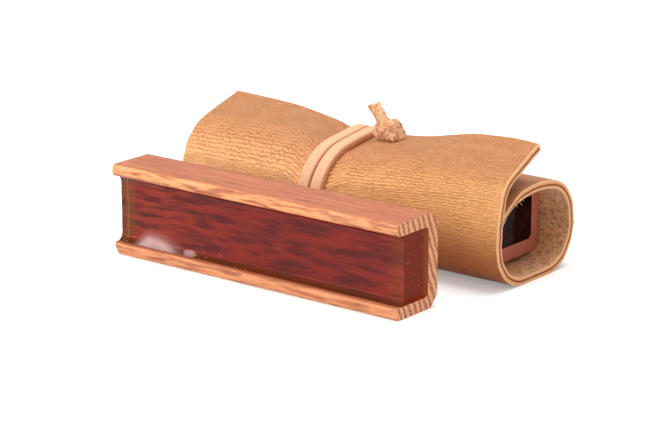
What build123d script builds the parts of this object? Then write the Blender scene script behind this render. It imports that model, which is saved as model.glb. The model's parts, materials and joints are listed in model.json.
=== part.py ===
"""A roll-up leather case for cello rosin, with one cake stored inside it and one in front.

Millimetres. +X runs along the roll to its open right mouth, +Y is to the back and +Z is up.
The origin is on the resting surface, under the centre of the whole set.
"""
import os
from dataclasses import dataclass, replace
from math import asin, atan2, cos, degrees, dist, hypot, radians, sin

from build123d import *

os.makedirs("parts", exist_ok=True)

# Rosin bar: a cake cast in a channel milled from one piece of wood
bar_length = 100.0
bar_height = 26.3
bar_depth = 18.0
flange_wall = 3.5
web_wall = 4.1
web_chamfer = 3.1
tip_radius = 1.2
inner_corner = 1.6
rosin_recess = 3.4
rosin_climb = 1.5
rosin_run = 2.4
rosin_curl = 3.1
cast_gap = 0.02

# Leather strip: a grain ply and a suede lining glued back to back
roll_length = 112.0
lining_ply = 1.1
grain_ply = 1.3
glue_line = 0.03
pinch_squeeze = 0.2

# Room that the roll leaves round the stored bar
room_front = 4.7
room_back = 1.9
room_under = 0.3
room_over = 3.2
bar_inset = 8.9
lace_lift = 1.5
floor_cut = 0.15
side_lift = 0.05

# Lace: one flat thong, knotted through a hole in the flap and wound twice round the roll
lace_width = 4.0
lace_thick = 2.0
lace_gap = 0.5
lace_seat = 0.1
lace_pressed = 1.5
knot_squeeze = 0.1
lace_middle = -8.15
crossing_gap = 0.5
bend_radius = 1.2
flap_overhang = 0.2
slant_high = 27.0
slant_low = 5.0
lace_end = 12.5
lace_join = 4.0
hole_x = 4.8
hole_back = 0.5
hole_radius = 2.2
neck_gap = 0.25
knot_length = 12.0
knot_depth = 6.6
knot_height = 5.8
knot_rounding = 2.4
knot_fullness = ((-0.5, 0.5), (-0.28, 0.93), (0.2, 1.0), (0.5, 0.5))
tail_length = 8.0
tail_width = 4.2
tail_thick = 2.3
tail_lean = -37.0
flap_rise = 1.2
knot_shift = 0.6
knot_back = 1.0
tail_shift = 2.0
neck_sink = 1.9

# Space between the roll and the bar that stands in front of it
front_space = 16.3
loose_shift = -1.9

# Places that follow from the sizes above
sheet = lining_ply + grain_ply
pinched_sheet = sheet - 2 * pinch_squeeze
raised_sheet = sheet - 2 * knot_squeeze
bar_floor = lace_lift + pinched_sheet + room_under
tunnel_top = bar_floor + bar_depth + room_over
tunnel_width = bar_height + room_front + room_back
turn_pitch = lace_width + lace_gap
lace_offset = pinched_sheet + lace_seat
lace_standoff = lace_thick + crossing_gap
back_reach = lace_offset + lace_standoff + lace_thick
whole_depth = bar_depth + front_space + sheet + tunnel_width + back_reach
bar_front = -whole_depth / 2
tunnel_front = bar_front + bar_depth + front_space + sheet
tunnel_back = tunnel_front + tunnel_width
stored_y = tunnel_front + room_front
stored_x = roll_length / 2 - bar_inset - bar_length / 2


@dataclass(frozen=True)
class Section:
    """One cross-section of the wound strip, given at its inner face.

    Each stretch of the flap is (radius, turn in degrees).
    """

    x: float
    base: float
    thick: float
    low_front: float
    low_back: float
    wall: tuple
    shoulder: tuple
    flap: float


# The strip's inner face: a shallow crown, three rounded corners, a leaning wall and the flap
start_turn = 16.5
start_radius = 43.0
start_reach = 17.3
high_back = 9.0
low_back = 9.2
wall_straight = 0.75
pinched_back = 5.0
pinched_front = 7.0
wall_drop = 11.0
low_front = tunnel_top - wall_drop - sheet + floor_cut - wall_straight
lean_left = 20.6
lean_hole = 24.0
lean_middle = 28.0
lean_right = 36.0
lean_mouth = 42.0
shoulder_left = 13.6
shoulder_side = 12.0
shoulder_hole = 9.0
shoulder_middle = 9.5
shoulder_right = 8.5
shoulder_mouth = 7.6
flap_left = 14.0
flap_pinched = 13.5
flap_hole = 13.4
flap_right = 13.0
flap_mouth = 12.5

# Where along the roll the flap changes: the pinch beside the lace, the hole and the flared ends
pinch_margin = 0.6
pinch_run = 6.0
hole_flat = 2.6
hole_run = 12.0
flare_x = 34.2
crown = tunnel_front + start_reach
hole_y = crown + hole_back
lace_top = tunnel_top + raised_sheet + lace_seat + lace_pressed
rim = roll_length / 2
pinch_half = turn_pitch / 2 + lace_width / 2 + pinch_margin
pinch_left = lace_middle - pinch_half
pinch_right = lace_middle + pinch_half
slack = dict(thick=sheet, low_front=low_front, low_back=low_back)
loose_left = dict(base=-floor_cut, flap=flap_left, **slack)
loose_right = dict(base=-floor_cut, flap=flap_right, **slack)
wall_left = (lean_left, 20.0)
pinched = Section(
    x=0.0,
    base=lace_lift,
    thick=pinched_sheet,
    low_front=pinched_front,
    low_back=pinched_back,
    wall=wall_left,
    shoulder=(shoulder_hole, 66.0),
    flap=flap_pinched,
)
at_hole = Section(
    x=hole_x,
    base=-floor_cut,
    thick=raised_sheet,
    low_front=low_front,
    low_back=low_back,
    wall=(lean_hole, 19.0),
    shoulder=(shoulder_hole, 62.0),
    flap=flap_hole,
)
mouth = Section(x=rim, wall=(lean_mouth, 16.0), shoulder=(shoulder_mouth, 49.5), **loose_right)
sections = [
    Section(x=-rim, wall=wall_left, shoulder=(shoulder_left, 47.0), **loose_left),
    Section(x=-flare_x, wall=wall_left, shoulder=(shoulder_left, 49.0), **loose_left),
    Section(
        x=pinch_left - pinch_run,
        base=side_lift,
        wall=wall_left,
        shoulder=(shoulder_side, 57.0),
        flap=flap_pinched,
        **slack,
    ),
    replace(pinched, x=pinch_left),
    replace(pinched, x=pinch_right),
    replace(at_hole, x=hole_x - hole_flat),
    replace(at_hole, x=hole_x + hole_flat),
    Section(x=hole_x + hole_run, wall=(lean_middle, 18.0), shoulder=(shoulder_middle, 58.0), **loose_right),
    Section(x=flare_x, wall=(lean_right, 17.0), shoulder=(shoulder_right, 51.0), **loose_right),
    replace(mouth, flap=flap_mouth),
]


def trace(stretches, start, heading, offset):
    """Follow lines and right-hand arcs, at an offset to the left of the way they run.

    Each stretch is (length, 0) or (radius, turn in degrees). Gives the ends and middle of each.
    """
    y, z = start
    y -= offset * sin(radians(heading))
    z += offset * cos(radians(heading))
    ends = []
    for size, turn in stretches:
        angle = radians(heading)
        if turn:
            radius = size + offset
            centre_y = y + radius * sin(angle)
            centre_z = z - radius * cos(angle)
            half, full = radians(heading - turn / 2), radians(heading - turn)
            middle = (centre_y - radius * sin(half), centre_z + radius * cos(half))
            end = (centre_y - radius * sin(full), centre_z + radius * cos(full))
        else:
            middle = None
            end = (y + size * cos(angle), z + size * sin(angle))
        ends.append(((y, z), middle, end))
        y, z = end
        heading -= turn
    return ends


def draw_band(stretches, start, heading, near, far):
    """Draw the closed outline of a band between two offsets of one course."""
    outside = trace(stretches, start, heading, far)
    inside = trace(stretches, start, heading, near)
    for first, middle, last in outside:
        if middle:
            ThreePointArc(first, middle, last)
        else:
            Line(first, last)
    Line(outside[-1][2], inside[-1][2])
    for first, middle, last in reversed(inside):
        if middle:
            ThreePointArc(last, middle, first)
        else:
            Line(last, first)
    Line(inside[0][0], outside[0][0])


def strip_course(part):
    """Course of the strip's inner face: start, heading and stretches, seen from the right."""
    floor = part.base + part.thick
    wall_height = tunnel_top - wall_drop
    turn = radians(start_turn)
    start = (crown - start_radius * sin(turn), tunnel_top - start_radius * (1 - cos(turn)))
    stretches = [
        (start_radius, start_turn),
        (tunnel_back - high_back - crown, 0),
        (high_back, 90.0),
        (tunnel_top - high_back - floor - part.low_back, 0),
        (part.low_back, 90.0),
        (tunnel_width - part.low_back - part.low_front, 0),
        (part.low_front, 90.0),
        (wall_height - floor - part.low_front, 0),
        part.wall,
        part.shoulder,
        (part.flap, 0),
    ]
    return stretches, start, start_turn


def trough_outline():
    """Outline of the milled channel: its back at y 0, its two flanges reaching forward."""
    half = bar_height / 2
    with BuildLine() as outline:
        Polyline(
            (0, -half + web_chamfer),
            (0, half - web_chamfer),
            (-web_chamfer, half),
            (-bar_depth, half),
            (-bar_depth, half - flange_wall),
            (-web_wall, half - flange_wall),
            (-web_wall, flange_wall - half),
            (-bar_depth, flange_wall - half),
            (-bar_depth, -half),
            (-web_chamfer, -half),
            close=True,
        )
    return outline


def lies_on_web(edge):
    """Whether a long edge is one of the two inside corners, at the web's face."""
    return abs(edge.center().Y + web_wall) < cast_gap


# Channel of wood in its own place: back at y 0, middle at z 0, its length along X
with BuildPart() as trough:
    with BuildSketch(Plane.YZ.offset(-bar_length / 2)):
        add(trough_outline())
        make_face()
    extrude(amount=bar_length)
    long_edges = trough.edges().filter_by(Axis.X)
    fillet(long_edges.group_by(Axis.Y)[0], tip_radius)
    fillet(trough.edges().filter_by(Axis.X).filter_by(lies_on_web), inner_corner)

# Cake cast into the channel, its face hollow where it climbs the flanges
cake_half = bar_height / 2 - flange_wall - cast_gap
cake_back = -web_wall - cast_gap
cake_face = -bar_depth + rosin_recess
with BuildPart() as cake:
    with BuildSketch(Plane.YZ.offset(-bar_length / 2)):
        with BuildLine():
            Polyline((cake_back, 0), (cake_back, cake_half), (cake_face - rosin_climb, cake_half))
            RadiusArc((cake_face - rosin_climb, cake_half), (cake_face, cake_half - rosin_run), rosin_curl)
            Line((cake_face, cake_half - rosin_run), (cake_face, 0))
            mirror(about=Plane.XZ)
        make_face()
    extrude(amount=bar_length)
    fillet(cake.edges().filter_by(Axis.X).group_by(Axis.Y)[-1], inner_corner)

# The two bars: one stands on a flange in front, one lies on its back in the roll
loose_place = Location((loose_shift, bar_front + bar_depth, bar_height / 2))
stored_place = Location((stored_x, stored_y + bar_height / 2, bar_floor), (-90, 0, 0))
bars = {}
for place_name, place in (("loose", loose_place), ("stored", stored_place)):
    for piece_name, piece in (("trough", trough), ("rosin", cake)):
        with BuildPart() as bar_piece:
            with Locations(place):
                add(piece.part)
        bar_piece.part.label = place_name + "_" + piece_name
        bars[bar_piece.part.label] = bar_piece.part
        export_step(bar_piece.part, "parts/" + bar_piece.part.label + ".step")


def ply_offsets(part, name):
    """Offsets of a ply's two faces from the strip's inner face, thinner where it is squeezed."""
    squeeze = (sheet - part.thick) / 2
    lining = lining_ply - squeeze
    if name == "lining":
        return 0.0, lining - glue_line
    return lining, part.thick


# Strip of leather: its two plies run round the bar and end in a flap over the top
for ply_name in ("lining", "leather"):
    with BuildPart() as ply:
        for part in sections:
            course, course_start, course_heading = strip_course(part)
            near, far = ply_offsets(part, ply_name)
            with BuildSketch(Plane.YZ.offset(part.x)):
                with BuildLine():
                    draw_band(course, course_start, course_heading, near, far)
                make_face()
        loft(ruled=True)
        if ply_name == "leather":
            split(bisect_by=Plane.XY, keep=Keep.TOP)
        with BuildSketch(Plane.XY.offset(lace_top)):
            with Locations((hole_x, hole_y)):
                Circle(hole_radius)
        extrude(amount=knot_height, mode=Mode.SUBTRACT)
    ply.part.label = "wrap_" + ply_name
    export_step(ply.part, "parts/" + ply.part.label + ".step")


@dataclass(frozen=True)
class Stretch:
    """A stretch of the lace: a course in YZ, and the X of its middle, level or slanting by Z."""

    course: list
    start: tuple
    heading: float
    thick: float
    high_x: float
    low_x: float

    def middle_x(self, z):
        """X of the lace's middle at a height."""
        share = min(max((z - slant_low) / (slant_high - slant_low), 0.0), 1.0)
        return self.low_x + share * (self.high_x - self.low_x)

    def points(self, steps=6, across=3):
        """Points over both faces of the stretch, edge to edge."""
        found = []
        fine = [
            (size, turn / steps) if turn else (size / steps, 0)
            for size, turn in self.course
            for _ in range(steps)
        ]
        for offset in (0.0, self.thick):
            for _, _, (y, z) in trace(fine, self.start, self.heading, offset):
                for side in range(across):
                    shift = lace_width * (side / (across - 1) - 0.5)
                    found.append((self.middle_x(z) + shift, y, z))
        return found


turn_right = lace_middle + turn_pitch / 2
turn_left = lace_middle - turn_pitch / 2
lace_floor = lace_lift - lace_seat
back_centre = (tunnel_back - high_back, tunnel_top - high_back)
low_y = tunnel_back - pinched.low_back
join_y = crown + lace_join


def round_front():
    """Course of a turn from under the roll, up its front and over the flap."""
    front_radius = pinched.low_front + lace_offset
    stretches = [
        (join_y - tunnel_front - pinched.low_front, 0),
        (front_radius, 90.0),
        (tunnel_top - wall_drop - lace_floor - front_radius, 0),
        (pinched.wall[0] + lace_offset, pinched.wall[1]),
        (pinched.shoulder[0] + lace_offset, pinched.shoulder[1]),
        (pinched.flap - bend_radius, 0),
    ]
    return stretches, (join_y, lace_floor), 180.0


def over_edge(start, heading, out):
    """Stretches from the flap's top over its edge and taut to the back, which lies out by a distance."""
    length = bend_radius + flap_overhang
    corner_y = start[0] + length * cos(radians(heading)) + bend_radius * sin(radians(heading))
    corner_z = start[1] + length * sin(radians(heading)) - bend_radius * cos(radians(heading))
    reach = hypot(back_centre[0] - corner_y, back_centre[1] - corner_z)
    spread = high_back + out - bend_radius
    fall = degrees(atan2(back_centre[1] - corner_z, back_centre[0] - corner_y) + asin(spread / reach))
    taut = (reach**2 - spread**2) ** 0.5
    return [(length, 0), (bend_radius, heading - fall), (taut, 0), (high_back + out, 90.0 + fall)]


def down_back(out):
    """Stretches from the back's upper curve down and under the roll."""
    low_radius = pinched.low_back + out
    return [
        (back_centre[1] - lace_floor - low_radius, 0),
        (low_radius, 90.0),
        (low_y - join_y, 0),
    ]


front_course, front_start, front_heading = round_front()
flap_top = trace(front_course, front_start, front_heading, 0.0)[-1][2]
flap_heading = 90.0 - pinched.wall[1] - pinched.shoulder[1]
crossed_out = lace_offset + lace_standoff
seat_out = raised_sheet + lace_seat
lead_start = (hole_y - hole_radius + neck_gap, tunnel_top + seat_out)
lead_line = [(back_centre[0] - lead_start[0], 0), (high_back + seat_out, 90.0)]
end_line = [(back_centre[1] - lace_end, 0)]
stretches = {
    "lead": Stretch(lead_line + down_back(seat_out), lead_start, 0.0, lace_pressed, hole_x, turn_right),
    "first": Stretch(front_course, front_start, front_heading, lace_thick, turn_right, turn_right),
    "change": Stretch(
        over_edge(flap_top, flap_heading, crossed_out) + down_back(crossed_out),
        flap_top, flap_heading, lace_thick, turn_right, turn_left,
    ),
    "second": Stretch(front_course, front_start, front_heading, lace_thick, turn_left, turn_left),
    "end": Stretch(
        over_edge(flap_top, flap_heading, lace_offset) + end_line,
        flap_top, flap_heading, lace_thick, turn_left, turn_right,
    ),
}

# Stretches of the lace, each cut to its slant
strands = []
half_width = lace_width / 2
for stretch in stretches.values():
    low_edge = min(stretch.high_x, stretch.low_x) - half_width
    high_edge = max(stretch.high_x, stretch.low_x) + half_width
    with BuildPart() as strand:
        with BuildSketch(Plane.YZ.offset(low_edge)):
            with BuildLine():
                draw_band(stretch.course, stretch.start, stretch.heading, 0.0, stretch.thick)
            make_face()
        extrude(amount=high_edge - low_edge)
        with BuildSketch(Plane.XZ):
            with BuildLine():
                Polyline(
                    (stretch.high_x - half_width, 2 * slant_high),
                    (stretch.high_x + half_width, 2 * slant_high),
                    (stretch.high_x + half_width, slant_high),
                    (stretch.low_x + half_width, slant_low),
                    (stretch.low_x + half_width, -slant_low),
                    (stretch.low_x - half_width, -slant_low),
                    (stretch.low_x - half_width, slant_low),
                    (stretch.high_x - half_width, slant_high),
                    close=True,
                )
            make_face()
        extrude(amount=whole_depth, both=True, mode=Mode.INTERSECT)
    strands.append(strand.part)

# Lace: the two turns and what leads to and from them, as one strand
with BuildPart() as lace:
    for cut_strand in strands:
        add(cut_strand)
    split(bisect_by=Plane.XY, keep=Keep.TOP)
lace.part.label = "lace_turns"
export_step(lace.part, "parts/lace_turns.step")

# Least gap of the lace to itself, between stretches that don't follow each other
order = list(stretches)
apart = []
for first, name in enumerate(order):
    for other in order[first + 2:]:
        here = stretches[name].points()
        there = stretches[other].points()
        apart.append(min(dist(a, b) for a in here for b in there))
print("lace least gap to itself", round(min(apart), 2), "mm")

# Knot: its neck in the hole, the lump and the cut tail that leans to the left
knot_floor = lace_top + raised_sheet + flap_rise
with BuildPart() as knot:
    for share, size in knot_fullness:
        with BuildSketch(Plane.YZ.offset(hole_x - knot_shift + share * knot_length)):
            with Locations((hole_y + knot_back, knot_floor + knot_height / 2)):
                RectangleRounded(knot_depth * size, knot_height * size, knot_rounding * size)
    loft()
    with BuildSketch(Plane.XY.offset(lace_top)):
        with Locations((hole_x, hole_y)):
            Circle(hole_radius - neck_gap)
    extrude(amount=knot_floor - lace_top + neck_sink)
    tail_plane = Plane(
        origin=(hole_x - knot_shift - tail_shift, hole_y + knot_back, knot_floor + knot_height / 2),
        x_dir=(cos(radians(tail_lean)), 0, -sin(radians(tail_lean))),
        z_dir=(sin(radians(tail_lean)), 0, cos(radians(tail_lean))),
    )
    with BuildSketch(tail_plane):
        RectangleRounded(tail_width, tail_thick, tail_thick / 4)
    extrude(amount=tail_length)
knot.part.label = "lace_knot"
export_step(knot.part, "parts/lace_knot.step")
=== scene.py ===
"""Looks of a roll-up leather case for cello rosin, with one bar stored in it and one in front.

Metres, in the frame of the CAD model: +X along the roll to its open right mouth, +Y to the back, +Z up.
"""

import json
import logging
from collections.abc import Iterator
from contextlib import contextmanager
from dataclasses import dataclass, field, replace
from enum import Enum
from math import cos, pi, radians, sin

import bpy
import numpy as np
from mathutils import Matrix, Vector, noise

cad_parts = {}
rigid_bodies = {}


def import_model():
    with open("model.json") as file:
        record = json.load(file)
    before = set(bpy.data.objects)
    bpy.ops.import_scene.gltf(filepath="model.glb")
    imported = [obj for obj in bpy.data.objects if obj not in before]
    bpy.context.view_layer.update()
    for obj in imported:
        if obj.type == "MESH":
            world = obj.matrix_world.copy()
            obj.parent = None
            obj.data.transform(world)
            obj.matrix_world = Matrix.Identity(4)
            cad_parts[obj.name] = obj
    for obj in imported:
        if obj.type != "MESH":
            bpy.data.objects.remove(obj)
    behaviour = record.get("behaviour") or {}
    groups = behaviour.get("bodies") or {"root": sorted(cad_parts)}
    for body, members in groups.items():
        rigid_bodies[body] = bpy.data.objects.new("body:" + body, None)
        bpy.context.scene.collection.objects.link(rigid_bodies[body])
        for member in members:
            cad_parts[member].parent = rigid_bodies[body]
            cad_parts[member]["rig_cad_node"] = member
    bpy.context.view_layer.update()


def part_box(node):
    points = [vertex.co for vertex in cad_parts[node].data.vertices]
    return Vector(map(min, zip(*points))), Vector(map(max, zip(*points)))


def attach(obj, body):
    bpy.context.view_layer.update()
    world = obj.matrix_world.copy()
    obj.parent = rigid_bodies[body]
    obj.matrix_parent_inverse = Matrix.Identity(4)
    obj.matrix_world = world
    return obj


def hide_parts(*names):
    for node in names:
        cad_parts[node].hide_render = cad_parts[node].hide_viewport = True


LOG = logging.getLogger("rosin_roll")
MM = 0.001
FLAT_UNIT = 200.0

Triple = tuple[float, float, float]
Piece = bpy.types.Object


class Body(Enum):
    """The rigid bodies that pieces ride on."""

    ROLL = "roll"
    STORED = "stored_bar"
    LOOSE = "loose_bar"


class Slot(Enum):
    """Material slots of the record."""

    GRAIN = "grain_leather"
    SUEDE = "suede_lining"
    LACE = "lace_leather"
    WOOD = "trough_wood"
    ROSIN = "rosin"


# Shader building


class Signal:
    """A shader socket with arithmetic, so that shader maths reads as an expression."""

    def __init__(self, tree: bpy.types.NodeTree, socket: bpy.types.NodeSocket) -> None:
        """Wrap a socket of a node tree."""
        self.tree = tree
        self.socket = socket

    def _math(self, operation: str, *values: object, clamp: bool = False) -> "Signal":
        """Add a Math node.

        Args:
            operation: the node's operation.
            values: numbers or signals for its inputs.
            clamp: whether the result stays from 0 to 1.

        Returns:
            The node's result.
        """
        math_node = self.tree.nodes.new("ShaderNodeMath")
        math_node.operation = operation
        math_node.use_clamp = clamp
        for index, value in enumerate(values):
            if isinstance(value, Signal):
                self.tree.links.new(value.socket, math_node.inputs[index])
            else:
                math_node.inputs[index].default_value = value
        return Signal(self.tree, math_node.outputs[0])

    def __add__(self, other: object) -> "Signal":
        """Sum."""
        return self._math("ADD", self, other)

    def __radd__(self, other: object) -> "Signal":
        """Sum with the signal on the right."""
        return self._math("ADD", other, self)

    def __sub__(self, other: object) -> "Signal":
        """Difference."""
        return self._math("SUBTRACT", self, other)

    def __rsub__(self, other: object) -> "Signal":
        """Difference with the signal on the right."""
        return self._math("SUBTRACT", other, self)

    def __mul__(self, other: object) -> "Signal":
        """Product."""
        return self._math("MULTIPLY", self, other)

    def __rmul__(self, other: object) -> "Signal":
        """Product with the signal on the right."""
        return self._math("MULTIPLY", other, self)

    def __truediv__(self, other: object) -> "Signal":
        """Quotient."""
        return self._math("DIVIDE", self, other)

    def __pow__(self, other: object) -> "Signal":
        """Power."""
        return self._math("POWER", self, other)

    def most(self, other: object) -> "Signal":
        """The larger of two."""
        return self._math("MAXIMUM", self, other)

    def size(self) -> "Signal":
        """The value without its sign."""
        return self._math("ABSOLUTE", self)

    def wave(self) -> "Signal":
        """Sine."""
        return self._math("SINE", self)

    def ramp(self, low: float, high: float) -> "Signal":
        """Rise smoothly from 0 at low to 1 at high, or fall where high is the lower one.

        Args:
            low: the value that gives 0.
            high: the value that gives 1.

        Returns:
            The share, from 0 to 1.
        """
        share = self._math("MULTIPLY_ADD", self, 1 / (high - low), -low / (high - low), clamp=True)
        return share * share * (3 - 2 * share)


class Finish:
    """A material that is built from expressions."""

    def __init__(self, name: str) -> None:
        """Start an empty material.

        Args:
            name: the material's name.
        """
        self.material = bpy.data.materials.new(name)
        self.material.use_nodes = True
        self.tree = self.material.node_tree
        self.tree.nodes.clear()

    def node(
        self,
        kind: str,
        settings: dict[str, object] | None = None,
        inputs: dict[str, object] | None = None,
        output: int | str = 0,
    ) -> Signal | None:
        """Add any node.

        Args:
            kind: the node's type, without its ShaderNode prefix.
            settings: attributes that are set before its sockets.
            inputs: numbers, tuples or signals by socket name or index.
            output: which output to give back.

        Returns:
            That output, or nothing where the node has none.
        """
        made = self.tree.nodes.new("ShaderNode" + kind)
        for name, value in (settings or {}).items():
            setattr(made, name, value)
        for name, value in (inputs or {}).items():
            if isinstance(value, Signal):
                self.tree.links.new(value.socket, made.inputs[name])
            else:
                made.inputs[name].default_value = value
        return Signal(self.tree, made.outputs[output]) if made.outputs else None

    def place(self, stretch: Triple) -> Signal:
        """Object coordinates in millimetres, times a stretch along each axis."""
        where = self.node("TexCoord", output="Object")
        return self.node("Mapping", {}, {"Vector": where, "Scale": tuple(part / MM for part in stretch)})

    def flat(self, stretch: tuple[float, float], map_name: str = "flat") -> Signal:
        """Read the piece's flat cut in millimetres from its UV map.

        Args:
            stretch: what its two places are multiplied by.
            map_name: the map's name.

        Returns:
            The stretched places.
        """
        where = self.node("UVMap", {"uv_map": map_name})
        scale = (stretch[0] * FLAT_UNIT, stretch[1] * FLAT_UNIT, 1.0)
        return self.node("Mapping", {}, {"Vector": where, "Scale": scale})

    def value_of(self, attribute: str) -> Signal:
        """A number that the mesh carries at each point."""
        return self.node("Attribute", {"attribute_name": attribute}, output="Fac")

    def cloud(self, where: Signal, size: float, detail: float = 2.0, warp: float = 0.0) -> Signal:
        """Noise about 0.5, with features of a size in the units of where."""
        inputs = {"Vector": where, "Scale": 1 / size, "Detail": detail, "Distortion": warp}
        return self.node("TexNoise", {}, inputs)

    def flat_cloud(self, stretch: tuple[float, float], size: float, detail: float = 2.0) -> Signal:
        """Noise on the piece's flat cut, with features of a size in mm before the stretch."""
        return self.cloud(self.flat(stretch), size, detail)

    def solid_cloud(self, stretch: Triple, size: float, detail: float = 2.0) -> Signal:
        """Noise through the piece, with features of a size in mm before the stretch."""
        return self.cloud(self.place(stretch), size, detail)

    def cells(self, where: Signal, size: float) -> Signal:
        """Distances from the middles of cells of a size in the units of where."""
        return self.node("TexVoronoi", {}, {"Vector": where, "Scale": 1 / size})

    def axes(self) -> tuple[Signal, Signal, Signal]:
        """The three object coordinates in millimetres, as numbers.

        Returns:
            X, Y and Z.
        """
        where = self.place((1, 1, 1))
        parts = self.tree.nodes.new("ShaderNodeSeparateXYZ")
        self.tree.links.new(where.socket, parts.inputs[0])
        return tuple(Signal(self.tree, side) for side in parts.outputs)

    def facing(self, axis: int) -> Signal:
        """How far the surface faces along one axis."""
        return self.node("SeparateXYZ", {}, {0: self.node("NewGeometry", output="Normal")}, axis)

    def mix(self, share: object, first: object, second: object) -> Signal:
        """Blend two colours, each a tuple of three or a signal.

        Args:
            share: how much of the second shows, from 0 to 1.
            first: the colour at 0.
            second: the colour at 1.

        Returns:
            The blend.
        """
        made = self.tree.nodes.new("ShaderNodeMix")
        made.data_type = "RGBA"
        made.clamp_factor = True
        for index, value in ((0, share), (6, first), (7, second)):
            if isinstance(value, Signal):
                self.tree.links.new(value.socket, made.inputs[index])
            elif index:
                made.inputs[index].default_value = (*value, 1.0)
            else:
                made.inputs[index].default_value = value
        return Signal(self.tree, made.outputs[2])

    def shift(self, where: Signal, by: Signal, amount: float) -> Signal:
        """Move coordinates by a signal, so that a pattern wavers."""
        drift = self.node("CombineXYZ", {}, {"X": by * amount, "Y": by * amount, "Z": by * amount})
        return self.node("VectorMath", {"operation": "ADD"}, {0: where, 1: drift})

    def close(
        self, colour: object, roughness: object, bump: Signal | None = None, **sockets: object
    ) -> bpy.types.Material:
        """Add the surface shader and the output.

        Args:
            colour: base colour, a tuple of three or a signal.
            roughness: a number or a signal.
            bump: height in millimetres, or nothing.
            sockets: further sockets, by name with underscores for spaces.

        Returns:
            The finished material.
        """
        surface = self.tree.nodes.new("ShaderNodeBsdfPrincipled")
        named = {key.replace("_", " "): value for key, value in sockets.items()}
        named["Base Color"] = colour if isinstance(colour, Signal) else (*colour, 1.0)
        named["Roughness"] = roughness
        if bump is not None:
            named["Normal"] = self.node("Bump", {}, {"Height": bump, "Distance": MM, "Strength": 1.0})
        for name, value in named.items():
            if isinstance(value, Signal):
                self.tree.links.new(value.socket, surface.inputs[name])
            else:
                surface.inputs[name].default_value = value
        return self.show(Signal(self.tree, surface.outputs[0]))

    def show(self, surface: Signal) -> bpy.types.Material:
        """Lead a shader to the output and give back the finished material."""
        self.node("OutputMaterial", {}, {"Surface": surface})
        return self.material


def seen_by_camera(tree: bpy.types.NodeTree) -> Signal:
    """Tell the camera's rays, also in a reflection or through a clear piece, from those of light.

    Args:
        tree: the node tree that asks.

    Returns:
        1 for the camera and 0 for light.
    """
    paths = tree.nodes.new("ShaderNodeLightPath")
    seen = Signal(tree, paths.outputs["Is Camera Ray"])
    for name in ("Is Glossy Ray", "Is Transmission Ray"):
        seen = seen.most(Signal(tree, paths.outputs[name]))
    return seen


# Finishes


@dataclass(frozen=True)
class GrainLeather:
    """Vegetable-tanned leather, its grain pebbled in short furrows along the roll."""

    crest: Triple = (0.95, 0.52, 0.23)
    body: Triple = (0.88, 0.425, 0.168)
    hollow: Triple = (0.42, 0.14, 0.026)
    warm: Triple = (0.74, 0.31, 0.075)
    # painted sheen: the colour that faces turned up are tinted towards
    top_sheen: Triple = (0.53, 0.215, 0.09)
    # painted shade: the colour that low places are deepened towards
    low: Triple = (0.41, 0.088, 0.001)
    furrow_pitch: float = 0.70
    furrow_waver: float = 9.0
    # heights in mm where the painted shade near the floor starts and where it is full
    floor_shade_from: float = 20.0
    floor_shade_to: float = 5.0

    def make(self) -> bpy.types.Material:
        """Build the material: redder to the right, with a painted sheen on top and painted shade near the
        floor.

        Returns:
            The material.
        """
        finish = Finish("grain_leather")
        down_strip = finish.node("SeparateXYZ", {}, {0: finish.flat((1, 1))}, 1)
        waver = (finish.flat_cloud((0.50, 1.0), 0.9, 1.5) - 0.5) * self.furrow_waver
        rows = (down_strip * (2 * pi / self.furrow_pitch) + waver).wave()
        pebble = 0.17 * rows + finish.flat_cloud((0.5, 1.0), 0.36, 1.0)
        lull = finish.flat_cloud((0.45, 0.9), 2.6)
        broad = finish.flat_cloud((0.5, 1), 14.0)
        upward = finish.facing(2)
        along, _, height = finish.axes()
        # painted shade: deeper in colour towards the floor
        low = height.ramp(self.floor_shade_from, self.floor_shade_to)
        plain = upward.ramp(0.55, 0.98) * 0.05
        furrow = pebble.ramp(0.50, 0.33) * (0.50 + 0.50 * lull.ramp(0.34, 0.58)) * (1 - plain)
        crown = pebble.ramp(0.46, 0.66)
        fine = finish.flat_cloud((1, 1.4), 0.3)
        base = finish.mix(crown * 0.75 * (0.55 + broad * 0.9), self.body, self.crest)
        base = finish.mix(along.ramp(-25.0, 30.0) * 0.40, base, self.warm)
        # painted sheen on the faces turned up
        base = finish.mix(upward.ramp(0.35, 0.98) * 0.85, base, self.top_sheen)
        # painted shade near the floor, stronger to the right
        base = finish.mix(low * (0.50 + 0.42 * along.ramp(-25.0, 25.0)), base, self.low)
        # the furrows' darker grain colour, deepened near the floor by painted shade
        depth = furrow * (0.46 + 0.34 * low + 0.34 * upward.ramp(0.3, 0.9))
        colour = finish.mix(depth, base, self.hollow)
        colour = finish.mix(fine.ramp(0.56, 0.75) * 0.22, colour, self.hollow)
        bump = 0.14 * crown - 0.12 * furrow + 0.03 * fine
        return finish.close(
            colour, 0.52, bump, Sheen_Weight=0.08, Sheen_Roughness=0.5,
            Sheen_Tint=(1.0, 0.84, 0.8, 1.0), Specular_IOR_Level=0.25,
        )


@dataclass(frozen=True)
class CutEdge:
    """A raw cut edge of leather: pale fibres, with a thin brown line where the plies are glued."""

    name: str
    fibre: Triple
    corner: Triple
    glue: Triple = (0.40, 0.105, 0.04)

    def make(self) -> bpy.types.Material:
        """Build the material from the depth that the mesh carries, 0 at the glue line and 1 at the face.

        Returns:
            The material.
        """
        finish = Finish(self.name)
        depth = finish.value_of("depth")
        mottle = finish.solid_cloud((1, 1, 1), 0.7, 3.0)
        pale = (depth + (mottle - 0.5) * 0.9).ramp(0.2, 1.0)
        dark = (depth + (mottle - 0.5) * 0.35).ramp(0.30, 0.10)
        colour = finish.mix(dark, finish.mix(pale, self.fibre, self.corner), self.glue)
        return finish.close(colour, 0.85, 0.1 * mottle - 0.1 * dark, Specular_IOR_Level=0.2)


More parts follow.
